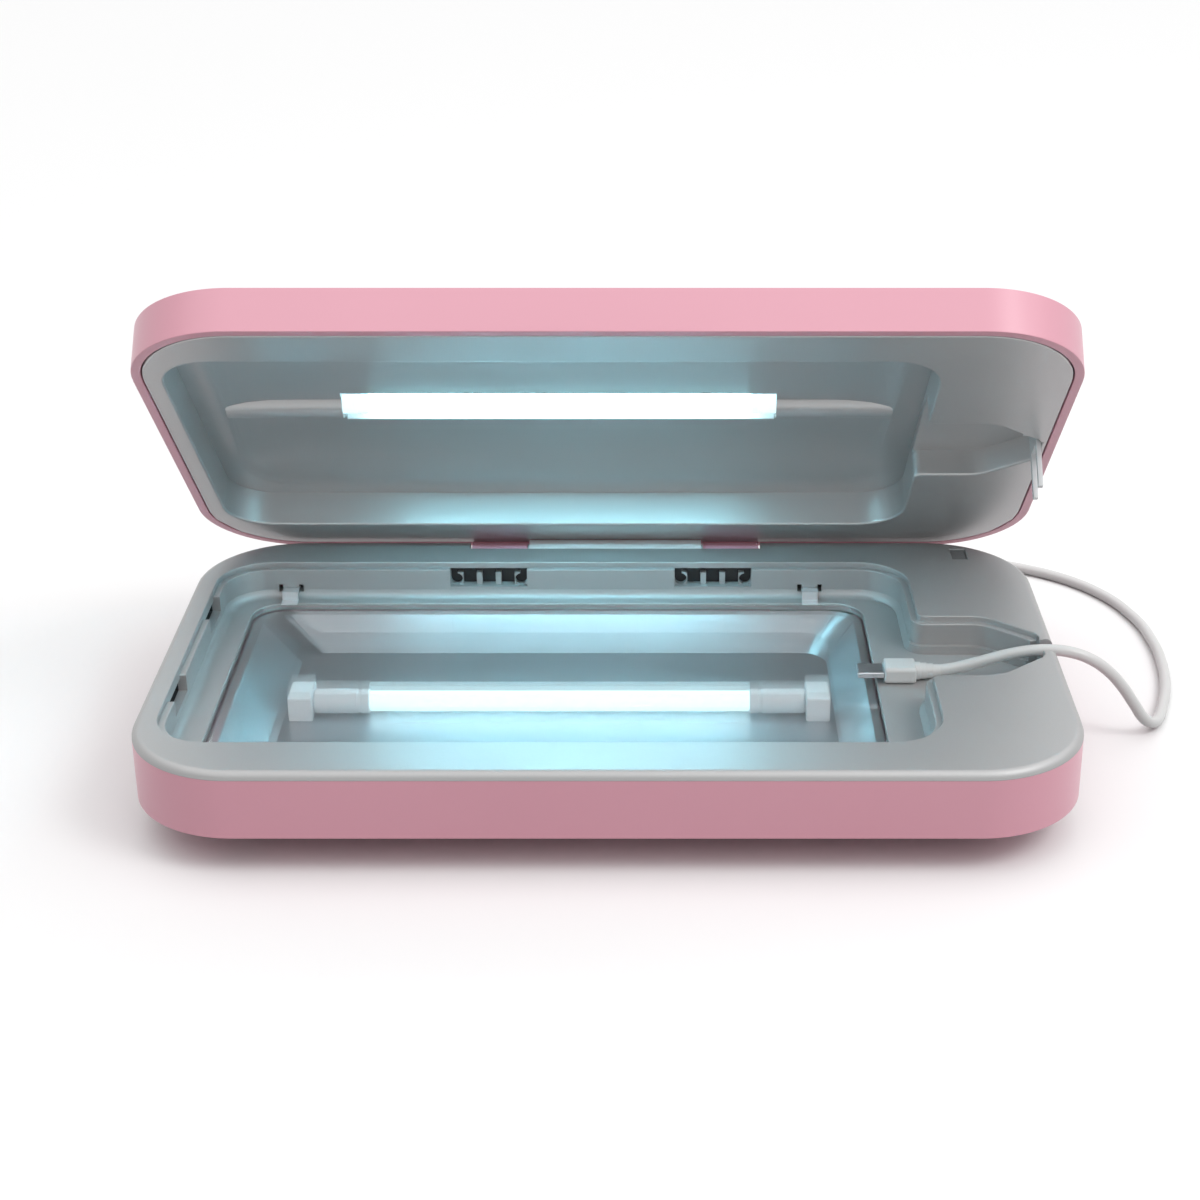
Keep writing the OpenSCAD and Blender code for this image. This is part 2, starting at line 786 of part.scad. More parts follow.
liner_e = shell_t + liner_gap;
liner_t = 1.2;
liner_x0 = left_x + lid_less + 0.6;
liner_x1 = right_x - lid_less;
liner_half = half_y - lid_less;
liner_r = open_r - lid_less;
trough_r = 8;
trough_z = lamp_z - 4.7;
sheet_t = 0.4;
mouth = tube_len / 2 + 6.5;
dish_reach = 20;
dish_steps = [[0, 0], [0.12, 0.42], [0.35, 0.75], [0.65, 0.95], [1, 1]];
guard_x = [end_x - 1.6, end_x - 0.4];
guard_half = 4.6;
guard_w = 1.6;
guard_drop = 11.4;
lid_channel_h = 7;

// The arched ceiling, shifted up by t and out by t for its outer face
module dish(t) {
    hull()
        for (s = dish_steps)
            let (z = dish_z + t + s[1] * dish_h)
                pocket(z - (s[0] > 0 ? leaf : 0.4), z, liner_x0, liner_x1, liner_half,
                    liner_r + dish_ledge, dish_ledge - t + s[0] * dish_reach, $fn = blend_fn);
}
module lid_channel() {
    intersection() {
        children();
        translate([liner_x1 - 1, -channel_half - 5])
            square([60, 2 * (channel_half + 5)]);
    }
}
module lid_liner() {
    color("#8f9092")
        opened()
            difference() {
                union() {
                    slab(lid_z, lid_z + tray_t, liner_e);
                    pocket(lid_z, dish_z + liner_t, liner_x0, liner_x1, liner_half, liner_r, -liner_t);
                    translate([0, 0, lid_z])
                        linear_extrude(lid_channel_h + liner_t)
                            lid_channel() polygon(lid_opening(-liner_t));
                    dish(liner_t);
                }
                translate([0, 0, lid_z - past])
                    linear_extrude(lid_channel_h + past)
                        lid_channel() polygon(lid_opening(0));
                pocket(lid_z - past, dish_z, liner_x0, liner_x1, liner_half, liner_r, 0);
                dish(0);
                rod_x(lamp_x - mouth, lamp_x + mouth, 0, trough_z, trough_r + sheet_t + seat);
                for (s = [-1, 1])
                    scale_at(s)
                        rod_x(mouth - past, mouth + cover_len + seat, 0, lamp_z, cover_r + seat);
                box(guard_x[0] - seat, guard_x[1] + seat, -guard_half - seat, guard_half + seat,
                    lid_z - past, lid_z + lid_channel_h + liner_t + past);
                rod_x(-block_half - 0.3, block_half + 0.3, hinge_y, hinge_z, block_r + swing);
            }
}

module upper_lamp_tube() {
    color("#f2fbff", 0.7) opened() lamp_tube(lamp_z);
}
module upper_lamp_caps() {
    color("#f4f4f2") opened() lamp_caps(lamp_z);
}
module upper_lamp_sockets() {
    color("#e8e8e4")
        opened()
            for (s = [-1, 1])
                scale_at(s)
                    rod_x(cap_end, cap_end + 4, 0, lamp_z, cap_r - seat);
}
module lamp_end_covers() {
    ceiling = dish_z + dish_h;
    color("#8f9092")
        opened()
            for (s = [-1, 1])
                scale_at(s)
                    difference() {
                        union() {
                            rod_x(mouth, mouth + cover_len, 0, lamp_z, cover_r);
                            box(mouth + 2, mouth + 14, -7.5, 7.5,
                                ceiling + liner_t + seat, ceiling + liner_t + 1.3);
                        }
                        rod_x(mouth - past, cap_end + 4.1, 0, lamp_z, cap_r + 0.3);
                        box(mouth - past, mouth + cover_len + past, -10, 10, lamp_z + cap_r, lamp_z + 10);
                        box(mouth + 13.5, mouth + cover_len + past, -10, 10, lamp_z - 0.4, lamp_z + 10);
                    }
}
module upper_reflector() {
    color("#c9ccd0")
        opened()
            difference() {
                rod_x(lamp_x - mouth + seat, lamp_x + mouth - seat, 0, trough_z, trough_r + sheet_t);
                rod_x(lamp_x - mouth - past, lamp_x + mouth + past, 0, trough_z, trough_r);
                box(lamp_x - mouth - past, lamp_x + mouth + past, -20, 20, trough_z - 20, dish_z + dish_h);
            }
}
module cable_guard() {
    color("#e9eef0", 0.6)
        opened() {
            box(guard_x[0], guard_x[1], -guard_half, guard_half, lid_z + 0.2, lid_z + lid_channel_h + 1);
            box(guard_x[0] - 1.6, guard_x[0] + leaf, -guard_half, guard_half, lid_z + lid_channel_h - 1.2,
                lid_z + lid_channel_h);
            for (y = [-guard_half, guard_half - guard_w])
                box(guard_x[0], guard_x[1], y, y + guard_w, lid_z - guard_drop, lid_z + 1);
        }
}
module status_lens() {
    color("#dfe4e8")
        opened()
            rod_z(0, lens_y, lid_top - shell_t, lid_top + 0.2, lens_r);
}
module status_board() {
    color("#2f6b46")
        opened() {
            box(-9, 9, lens_y - 5, lens_y + 5, status_z, status_z + status_t);
            box(-1.5, 1.5, lens_y - 1.5, lens_y + 1.5, status_z + status_t, status_z + status_t + 1.2);
        }
}
module lid_magnets() {
    color("#9b9ea2")
        opened()
            for (x = magnets_x)
                rod_z(x, magnet_y, lid_z + tray_t, lid_z + tray_t + magnet_h, magnet_r);
}
module sensor_magnet() {
    color("#9b9ea2")
        opened()
            rod_z((window_x[0] + window_x[1]) / 2, (window_y[0] + window_y[1]) / 2, lid_z + tray_t,
                lid_z + tray_t + 3, 2.5);
}

// Charging lead
lead_r = lead_d / 2;
plug_x = [right_x - 9.9, right_x - 2];
plug_w = 7;
plug_h = 4.4;
plug_z = floor_z + 0.05 + plug_h / 2;
tip_len = 6.6;
tip_w = 5.6;
tip_t = 1.5;
module phone_plug() {
    color("#f1f1f1")
        translate([plug_x[0], 0, plug_z])
            rotate([0, 90, 0])
                linear_extrude(plug_x[1] - plug_x[0])
                    rounded(plug_h, plug_w, 1.2);
}
module phone_plug_tip() {
    color("#d9dadc")
        box(plug_x[0] - tip_len, plug_x[0], -tip_w / 2, tip_w / 2, plug_z - tip_t / 2, plug_z + tip_t / 2);
}

// Route of the lead: up from the phone's plug to the slot, down the outside to the
// table, then round behind the box. The first list is measured from the side and the
// rim, the second from the side and the third from the side and the rear.
to_slot = [
    [-26, 0, -6.7], [-21, 0, -5.5], [-16, 0, -4], [-11, 0, -2.6], [-6, 0, -1.7], [-1, 0, -1.5],
    [4, -0.3, -2], [9, -0.5, -3.8], [13.5, -0.4, -7]
];
to_table = [
    [17.5, -0.2, 14.8], [20.8, 0, 10], [24, 0.9, 5.2], [27, 3.4, 2.2], [29.6, 8, 1.5], [32, 15, 1.5],
    [34.3, 23, 1.5], [36, 31, 1.5], [37, 39, 1.5]
];
to_coil = [
    [37.5, -18.5, 1.5], [37.2, -10.5, 1.5], [36.3, -2.5, 1.5], [34.4, 5.5, 1.5], [31.8, 13, 1.5],
    [28, 20, 1.5], [23, 26.5, 1.5], [17, 31.9, 1.5], [10.5, 36.1, 1.5], [3.5, 39.5, 1.5],
    [-4, 42.2, 1.6], [-11.5, 44.3, 2], [-19, 45.7, 2.4], [-25, 46.5, 2.6], [-30, 46.7, 2.6]
];
lead_route = concat(
    [[plug_x[1], 0, plug_z], [plug_x[1] + 3.3, 0, plug_z]],
    [for (p = to_slot) p + [side_x, 0, rim_z]],
    [for (p = to_table) p + [side_x, 0, 0]],
    [for (p = to_coil) p + [side_x, rear_y, 0]]
);
coil_c = [side_x - 30, rear_y + 24.5];
coil_z = 2.6;
coil_pitch = 3.4;
coil_layer = 3.4;
coil_out = 22.2;
loops_in = 3.5;
loops_out = 3;
coil_in = coil_out - (loops_in + 0.25) * coil_pitch;
ring_per_loop = 24;
// Angle, radius and height along the coil: in on the lower layer, up, and out on the upper one
function coil_point(t) =
    let (
        turn = loops_in + 0.25,
        r = coil_out - min(t, turn) * coil_pitch + max(t - turn, 0) * coil_pitch,
        z = min(max(t - loops_in, 0) / 0.5, 1) * coil_layer,
        a = 90 + 360 * t
    ) [coil_c[0] + r * cos(a), coil_c[1] + r * sin(a), coil_z + z];
coil_loops = loops_in + 0.5 + loops_out;
coil_path = [for (i = [0:round(coil_loops * ring_per_loop)]) coil_point(i / ring_per_loop)];
coil_end = coil_path[len(coil_path) - 1];
// From the coil to the plug, measured from the wide port at the rear face
to_port = [
    [21, 44.9, -7.9], [14.5, 43.5, -5.9], [8.5, 40.7, -3.7], [3.6, 36.5, -1.7], [0.8, 31.5, -0.4],
    [0, 27.5, 0], [0, 24.5, 0]
];
tail_route = concat(
    [coil_end, coil_end - [3, 0, 0]],
    [for (p = to_port) p + [port_a[0], rear_y, port_z]]
);

function unit(v) = v / norm(v);
function heading(p, i) =
    let (n = len(p) - 1) unit(p[min(i + 1, n)] - p[max(i - 1, 0)]);
// Rings of points square to the path, with one side kept level
function ring(p, i, r, sides) =
    let (
        d = heading(p, i),
        u = unit(cross(d, abs(d[2]) > 0.95 ? [0, 1, 0] : [0, 0, 1])),
        v = cross(u, d)
    ) [for (k = [0:sides - 1]) let (a = 360 * (k + 0.5) / sides) p[i] + r * (cos(a) * u + sin(a) * v)];
module tube(p, r, sides) {
    n = len(p);
    points = [for (i = [0:n - 1]) each ring(p, i, r, sides)];
    faces = concat(
        [[for (k = [0:sides - 1]) k]],
        [for (i = [0:n - 2], k = [0:sides - 1]) let (a = i * sides + k, b = i * sides + (k + 1) % sides)
            each [[a, a + sides, b], [b, a + sides, b + sides]]],
        [[for (k = [sides - 1:-1:0]) (n - 1) * sides + k]]
    );
    polyhedron(points, faces);
}
function path_length(p) =
    [for (i = [1:len(p) - 1]) norm(p[i] - p[i - 1])] * [for (i = [1:len(p) - 1]) 1];
// Least gap between turns of the coil that are more than a quarter loop apart
coil_gap = min([
    for (i = [0:3:len(coil_path) - 1], j = [i + 12:2:len(coil_path) - 1]) norm(coil_path[i] - coil_path[j])
]) - lead_d;
lead_length = path_length(lead_route) + path_length(coil_path) + path_length(tail_route);
echo(coil_gap = coil_gap, lead_length = lead_length);

module charge_lead() {
    color("#f1f1f1") tube(lead_route, lead_r, 8);
}
module lead_coil() {
    color("#f1f1f1") tube(coil_path, lead_r, 6);
}
module lead_tail() {
    color("#f1f1f1") tube(tail_route, lead_r, 8);
}
tie_w = 8;
tie_t = 0.8;
tie_gap = 0.3;
module lead_tie() {
    x0 = coil_c[0] + sqrt(pow(coil_in - lead_r, 2) - pow(tie_w / 2, 2)) - tie_gap;
    x1 = coil_c[0] + coil_out + lead_r + tie_gap;
    z0 = coil_z - lead_r - tie_gap;
    z1 = coil_z + coil_layer + lead_r + tie_gap;
    color("#dcdcdc")
        difference() {
            box(x0 - tie_t, x1 + tie_t, coil_c[1] - tie_w / 2, coil_c[1] + tie_w / 2, z0 - tie_t, z1 + tie_t);
            box(x0, x1, coil_c[1] - tie_w, coil_c[1] + tie_w, z0, z1);
        }
}
port_plug_y = [rear_y + 0.5, rear_y + 24.5];
port_plug_w = 15.6;
port_plug_h = 7;
module port_plug() {
    color("#f1f1f1")
        translate([port_a[0], port_plug_y[1], port_z])
            rotate([90, 0, 0])
                linear_extrude(port_plug_y[1] - port_plug_y[0])
                    rounded(port_plug_w, port_plug_h, 1.6);
}
module port_plug_shell() {
    color("#c8cacc")
        box(port_a[0] - port_a[1] / 2 + 0.7, port_a[0] + port_a[1] / 2 - 0.7, rear_y - 11.5, port_plug_y[0],
            port_z - port_a[2] / 2 + 0.7, port_z + port_a[2] / 2 - 0.7);
}

bottom_shell();
base_tray();
quartz_plate();
plate_clips();
lower_lamp_tube();
lower_lamp_caps();
lower_lamp_sockets();
lower_reflector();
control_board();
lamp_inverter();
charge_board();
wide_charge_port();
small_charge_port();
power_inlet();
rubber_feet();
base_screws();
hinge_block();
hinge_pins();
hinge_washers();
hinge_screws();
lid_sensor_window();
lid_sensor();
base_magnets();
sound_ducts();
lid_shell();
lid_liner();
upper_lamp_tube();
upper_lamp_caps();
upper_lamp_sockets();
lamp_end_covers();
upper_reflector();
cable_guard();
status_lens();
status_board();
lid_magnets();
sensor_magnet();
phone_plug();
phone_plug_tip();
charge_lead();
lead_coil();
lead_tail();
lead_tie();
port_plug();
port_plug_shell();
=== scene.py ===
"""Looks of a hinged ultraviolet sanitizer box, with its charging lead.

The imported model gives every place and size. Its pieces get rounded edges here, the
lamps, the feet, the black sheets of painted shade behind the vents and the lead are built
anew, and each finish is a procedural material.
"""

import json
import logging
import math
from collections.abc import Callable
from dataclasses import dataclass, field
from enum import Enum

import bmesh
import bpy
from mathutils import Matrix, Vector

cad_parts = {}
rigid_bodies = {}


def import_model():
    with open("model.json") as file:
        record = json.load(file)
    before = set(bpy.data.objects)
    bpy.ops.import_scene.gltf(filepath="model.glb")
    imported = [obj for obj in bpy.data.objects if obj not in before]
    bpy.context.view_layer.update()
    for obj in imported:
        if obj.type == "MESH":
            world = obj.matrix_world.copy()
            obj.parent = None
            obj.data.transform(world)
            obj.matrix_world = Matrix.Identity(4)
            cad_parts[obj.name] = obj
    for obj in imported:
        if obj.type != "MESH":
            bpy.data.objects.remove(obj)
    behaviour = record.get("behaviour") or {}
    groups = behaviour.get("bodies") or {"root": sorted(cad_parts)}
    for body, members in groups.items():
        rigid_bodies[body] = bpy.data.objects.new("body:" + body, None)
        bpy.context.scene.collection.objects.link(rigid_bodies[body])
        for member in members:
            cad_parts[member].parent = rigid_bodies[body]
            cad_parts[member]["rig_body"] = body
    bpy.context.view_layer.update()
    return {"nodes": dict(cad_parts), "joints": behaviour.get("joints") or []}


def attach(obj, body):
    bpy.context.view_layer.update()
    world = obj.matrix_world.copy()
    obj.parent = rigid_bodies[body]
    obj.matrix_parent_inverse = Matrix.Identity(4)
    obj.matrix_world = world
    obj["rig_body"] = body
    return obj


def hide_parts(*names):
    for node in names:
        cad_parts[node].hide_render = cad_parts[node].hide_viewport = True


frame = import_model()

LOG = logging.getLogger("sanitizer_box")
MM = 0.001
MERGE = 1e-6
FLAT_ANGLE = 0.4

# Heights in the closed box, in millimetres
SHELL_TOP_Z = 24.2
RIM_Z = 26.2
LEDGE_Z = 24.7
TRAY_FLOOR_Z = 16.7
LID_RIM_Z = 26.5

# Where the border of the lid's liner begins, in millimetres from the middle
LINER_BORDER_X = 106.4
LINER_BORDER_Y = 55.0

# Sockets of a Mix node for colours
MIX_FACTOR = 0
MIX_A = 6
MIX_B = 7
MIX_RESULT = 2


class Body(Enum):
    """The two rigid bodies of the box."""

    BASE = "base"
    LID = "lid"


# Finishes


def new_group(name: str, inputs: list[tuple[str, str, float | tuple[float, ...]]],
              outputs: list[tuple[str, str]]) -> tuple[bpy.types.NodeTree, bpy.types.Node, bpy.types.Node]:
    """Makes an empty shader node group with named sockets.

    Args:
        name: name of the group.
        inputs: name, socket type and default of each input.
        outputs: name and socket type of each output.

    Returns:
        The group, its input node and its output node.
    """
    group = bpy.data.node_groups.new(name, "ShaderNodeTree")
    for label, kind, default in inputs:
        socket = group.interface.new_socket(label, in_out="INPUT", socket_type=kind)
        socket.default_value = default
    for label, kind in outputs:
        group.interface.new_socket(label, in_out="OUTPUT", socket_type=kind)
    return group, group.nodes.new("NodeGroupInput"), group.nodes.new("NodeGroupOutput")


def grain_group() -> bpy.types.NodeTree:
    """Fine orange-peel or sprayed grain: a mask of its own and a bumped normal.

    Returns:
        The group.
    """
    group, ins, outs = new_group(
        "sprayed_grain",
        [
            ("Scale", "NodeSocketFloat", 900.0),
            ("Depth", "NodeSocketFloat", 0.05),
            ("Reach", "NodeSocketFloat", 0.0002),
        ],
        [("Mask", "NodeSocketFloat"), ("Normal", "NodeSocketVector")],
    )
    nodes, links = group.nodes, group.links
    place = nodes.new("ShaderNodeTexCoord")
    noise = nodes.new("ShaderNodeTexNoise")
    noise.inputs["Detail"].default_value = 3.0
    noise.inputs["Roughness"].default_value = 0.6
    bump = nodes.new("ShaderNodeBump")
    links.new(place.outputs["Object"], noise.inputs["Vector"])
    links.new(ins.outputs["Scale"], noise.inputs["Scale"])
    links.new(noise.outputs["Fac"], bump.inputs["Height"])
    links.new(ins.outputs["Depth"], bump.inputs["Strength"])
    links.new(ins.outputs["Reach"], bump.inputs["Distance"])
    links.new(noise.outputs["Fac"], outs.inputs["Mask"])
    links.new(bump.outputs["Normal"], outs.inputs["Normal"])
    return group


def drift_group() -> bpy.types.NodeTree:
    """Slow drift of a colour between two tones, and a mask of faint handling smudges.

    Returns:
        The group.
    """
    group, ins, outs = new_group(
        "tone_drift",
        [
            ("Tone A", "NodeSocketColor", (0.5, 0.5, 0.5, 1.0)),
            ("Tone B", "NodeSocketColor", (0.6, 0.6, 0.6, 1.0)),
            ("Scale", "NodeSocketFloat", 14.0),
        ],
        [("Color", "NodeSocketColor"), ("Smudge", "NodeSocketFloat")],
    )
    nodes, links = group.nodes, group.links
    place = nodes.new("ShaderNodeTexCoord")
    noise = nodes.new("ShaderNodeTexNoise")
    noise.inputs["Detail"].default_value = 2.0
    mix = nodes.new("ShaderNodeMix")
    mix.data_type = "RGBA"
    smudge = nodes.new("ShaderNodeTexNoise")
    smudge.inputs["Scale"].default_value = 46.0
    smudge.inputs["Detail"].default_value = 5.0
    links.new(place.outputs["Object"], noise.inputs["Vector"])
    links.new(place.outputs["Object"], smudge.inputs["Vector"])
    links.new(ins.outputs["Scale"], noise.inputs["Scale"])
    links.new(noise.outputs["Fac"], mix.inputs[MIX_FACTOR])
    links.new(ins.outputs["Tone A"], mix.inputs[MIX_A])
    links.new(ins.outputs["Tone B"], mix.inputs[MIX_B])
    links.new(mix.outputs[MIX_RESULT], outs.inputs["Color"])
    links.new(smudge.outputs["Fac"], outs.inputs["Smudge"])
    return group


def brushed_group() -> bpy.types.NodeTree:
    """Lines of brushed or rolled sheet along X: a mask and a bumped normal.

    Returns:
        The group.
    """
    group, ins, outs = new_group(
        "brushed_lines",
        [("Depth", "NodeSocketFloat", 0.2)],
        [("Mask", "NodeSocketFloat"), ("Normal", "NodeSocketVector")],
    )
    nodes, links = group.nodes, group.links
    place = nodes.new("ShaderNodeTexCoord")
    stretch = nodes.new("ShaderNodeMapping")
    stretch.inputs["Scale"].default_value = (40.0, 2500.0, 2500.0)
    noise = nodes.new("ShaderNodeTexNoise")
    noise.inputs["Scale"].default_value = 1.0
    noise.inputs["Detail"].default_value = 2.0
    bump = nodes.new("ShaderNodeBump")
    bump.inputs["Distance"].default_value = 0.0001
    links.new(place.outputs["Object"], stretch.inputs["Vector"])
    links.new(stretch.outputs["Vector"], noise.inputs["Vector"])
    links.new(noise.outputs["Fac"], bump.inputs["Height"])
    links.new(ins.outputs["Depth"], bump.inputs["Strength"])
    links.new(noise.outputs["Fac"], outs.inputs["Mask"])
    links.new(bump.outputs["Normal"], outs.inputs["Normal"])
    return group


class Grain(Enum):
    """The surface texture a finish has."""

    SPRAYED = "sprayed_grain"
    BRUSHED = "brushed_lines"


@dataclass(frozen=True)
class Finish:
    """One surface finish, with its own procedural material.

    Colours are linear. tone_b is the far end of the slow drift from tone_a.
    """

    name: str
    tone_a: tuple[float, float, float]
    tone_b: tuple[float, float, float]
    rough: tuple[float, float] = (0.35, 0.45)
    metallic: float = 0.0
    grain: Grain = Grain.SPRAYED
    grain_scale: float = 900.0
    grain_depth: float = 0.05
    drift_scale: float = 14.0
    coat: float = 0.0
    coat_rough: float = 0.15
    sheen: float = 0.0
    transmission: float = 0.0
    ior: float = 1.5
    alpha: float = 1.0
    glow: tuple[float, float, float] = (0.0, 0.0, 0.0)
    glow_strength: float = 0.0

    def material(self, groups: dict[str, bpy.types.NodeTree]) -> bpy.types.Material:
        """Builds the finish's material.

        Args:
            groups: the shared node groups by name.

        Returns:
            The new material.
        """
        made = bpy.data.materials.new(self.name)
        made.use_nodes = True
        nodes, links = made.node_tree.nodes, made.node_tree.links
        shader = nodes["Principled BSDF"]
        drift = nodes.new("ShaderNodeGroup")
        drift.node_tree = groups["tone_drift"]
        drift.inputs["Tone A"].default_value = (*self.tone_a, 1.0)
        drift.inputs["Tone B"].default_value = (*self.tone_b, 1.0)
        drift.inputs["Scale"].default_value = self.drift_scale
        grain = nodes.new("ShaderNodeGroup")
        grain.node_tree = groups[self.grain.value]
        grain.inputs["Depth"].default_value = self.grain_depth
        if self.grain is Grain.SPRAYED:
            grain.inputs["Scale"].default_value = self.grain_scale
        spread = nodes.new("ShaderNodeMapRange")
        spread.inputs["From Min"].default_value = 0.3
        spread.inputs["From Max"].default_value = 0.7
        spread.inputs["To Min"].default_value = self.rough[0]
        spread.inputs["To Max"].default_value = self.rough[1]
        both = nodes.new("ShaderNodeMath")
        both.operation = "MULTIPLY_ADD"
        both.inputs[1].default_value = 0.5
        half = nodes.new("ShaderNodeMath")
        half.operation = "MULTIPLY"
        half.inputs[1].default_value = 0.5
        links.new(drift.outputs["Smudge"], half.inputs[0])
        links.new(grain.outputs["Mask"], both.inputs[0])
        links.new(half.outputs["Value"], both.inputs[2])
        links.new(both.outputs["Value"], spread.inputs["Value"])
        links.new(drift.outputs["Color"], shader.inputs["Base Color"])
        links.new(spread.outputs["Result"], shader.inputs["Roughness"])
        links.new(grain.outputs["Normal"], shader.inputs["Normal"])
        shader.inputs["Metallic"].default_value = self.metallic
        shader.inputs["Coat Weight"].default_value = self.coat
        shader.inputs["Coat Roughness"].default_value = self.coat_rough
        shader.inputs["Sheen Weight"].default_value = self.sheen
        shader.inputs["Transmission Weight"].default_value = self.transmission
        shader.inputs["IOR"].default_value = self.ior
        shader.inputs["Alpha"].default_value = self.alpha
        shader.inputs["Emission Color"].default_value = (*self.glow, 1.0)
        shader.inputs["Emission Strength"].default_value = self.glow_strength
        return made


FINISHES = (
    Finish("shell_pink", (0.75, 0.345, 0.43), (0.81, 0.385, 0.475), (0.42, 0.54), 0.0, grain_scale=1400.0,
           grain_depth=0.06, coat=0.6, coat_rough=0.3),
    Finish("tray_silver", (0.40, 0.40, 0.402), (0.44, 0.44, 0.442), (0.42, 0.54), 0.45, grain_scale=2200.0,
           grain_depth=0.12),
    Finish("liner_silver", (0.48, 0.48, 0.482), (0.53, 0.53, 0.532), (0.28, 0.40), 0.6, grain_scale=2200.0,
           grain_depth=0.12),
    Finish("trough_white", (0.74, 0.76, 0.77), (0.80, 0.82, 0.83), (0.3, 0.42), 0.25, grain_scale=1800.0,
           grain_depth=0.06),
    Finish("quartz", (0.93, 0.98, 1.0), (0.97, 1.0, 1.0), (0.02, 0.05), 0.0, grain_scale=60.0,
           grain_depth=0.01, transmission=1.0, ior=1.46, alpha=0.3),
    Finish("lit_glass", (0.9, 0.97, 1.0), (0.95, 1.0, 1.0), (0.1, 0.2), 0.0, grain_scale=300.0,
           grain_depth=0.02, glow=(0.36, 0.85, 1.0), glow_strength=26.0),
    Finish("lower_lit_glass", (0.9, 0.97, 1.0), (0.95, 1.0, 1.0), (0.1, 0.2), 0.0, grain_scale=300.0,
           grain_depth=0.02, glow=(0.62, 0.95, 1.0), glow_strength=1.1),
    # The upper caps' faint cyan glow is painted light: the lamp's light falling on the caps. The lower caps
    # are the same moulding without it.
    Finish("lamp_cap", (0.80, 0.84, 0.86), (0.88, 0.90, 0.91), (0.35, 0.5), 0.0, grain_scale=800.0,
           grain_depth=0.05, coat=0.2, glow=(0.72, 0.95, 1.0), glow_strength=0.9),
    Finish("lower_cap", (0.80, 0.84, 0.86), (0.88, 0.90, 0.91), (0.35, 0.5), 0.0, grain_scale=800.0,
           grain_depth=0.05, coat=0.2),
    Finish("reflector_sheet", (0.50, 0.51, 0.53), (0.55, 0.56, 0.58), (0.3, 0.4), 1.0, Grain.BRUSHED,
           grain_depth=0.06),
    Finish("steel", (0.55, 0.56, 0.58), (0.66, 0.67, 0.69), (0.22, 0.38), 1.0, Grain.BRUSHED,
           grain_depth=0.3),
    Finish("clip_steel", (0.62, 0.63, 0.65), (0.74, 0.75, 0.76), (0.25, 0.4), 0.6, grain_scale=1500.0,
           grain_depth=0.05),
    Finish("hinge_bar", (0.80, 0.77, 0.78), (0.86, 0.84, 0.85), (0.35, 0.46), 0.3, grain_scale=1800.0,
           grain_depth=0.05),
    Finish("solder_mask", (0.012, 0.09, 0.04), (0.02, 0.13, 0.06), (0.3, 0.45), 0.0, grain_scale=500.0,
           grain_depth=0.15, drift_scale=300.0, coat=0.4),
    Finish("coil_tape", (0.62, 0.45, 0.08), (0.72, 0.54, 0.12), (0.4, 0.55), 0.0, grain_scale=400.0,
           grain_depth=0.15),
    Finish("black_moulding", (0.012, 0.012, 0.014), (0.02, 0.02, 0.022), (0.4, 0.6), 0.0, grain_scale=1500.0,
           grain_depth=0.15),
    Finish("grey_moulding", (0.17, 0.172, 0.175), (0.21, 0.212, 0.215), (0.45, 0.6), 0.0, grain_scale=1500.0,
           grain_depth=0.15),
    Finish("foot_rubber", (0.03, 0.03, 0.032), (0.045, 0.045, 0.048), (0.65, 0.85), 0.0, grain_scale=1200.0,
           grain_depth=0.3, sheen=0.2),
    Finish("clear_moulding", (0.90, 0.92, 0.93), (0.95, 0.97, 0.98), (0.12, 0.25), 0.0, grain_scale=500.0,
           grain_depth=0.04, transmission=0.15, ior=1.5, alpha=0.92),
    Finish("lead_jacket", (0.62, 0.62, 0.615), (0.68, 0.68, 0.675), (0.28, 0.4), 0.0, grain_scale=1500.0,
           grain_depth=0.08, coat=0.35, coat_rough=0.2),
)

NODE_FINISH = {
    "quartz_plate": "quartz",
    "plate_clips": "clip_steel",
    "lower_lamp_sockets": "lower_cap",
    "upper_lamp_sockets": "lamp_cap",
    "lower_reflector": "reflector_sheet",
    "upper_reflector": "trough_white",
    "control_board": "solder_mask",
    "lamp_inverter": "coil_tape",
    "charge_board": "solder_mask",
    "wide_charge_port": "steel",
    "small_charge_port": "steel",
    "power_inlet": "black_moulding",
    "base_screws": "steel",
    "hinge_block": "hinge_bar",
    "hinge_pins": "steel",
    "hinge_washers": "steel",
    "hinge_screws": "steel",
    "lid_sensor_window": "grey_moulding",
    "lid_sensor": "black_moulding",
    "base_magnets": "steel",
    "sound_ducts": "black_moulding",
    "lamp_end_covers": "liner_silver",
    "cable_guard": "clear_moulding",
    "status_lens": "clear_moulding",
    "status_board": "solder_mask",
    "lid_magnets": "steel",
    "sensor_magnet": "steel",
    "phone_plug": "lead_jacket",
    "phone_plug_tip": "steel",
    "lead_tie": "grey_moulding",
    "port_plug": "lead_jacket",
    "port_plug_shell": "steel",
    "bottom_shell": "shell_pink",
    "lid_shell": "shell_pink",
    "base_tray": "tray_silver",
    "lid_liner": "liner_silver",
}


@dataclass(frozen=True)
class Softening:
    """How the sharp outer edges of a node are rounded, in millimetres.

    Where levels are given, only the edges at those heights of the closed box are rounded.
    """

    width: float
    segments: int = 2
    levels: tuple[float, ...] = ()
    least: float = 40.0
    border_width: float = 0.0


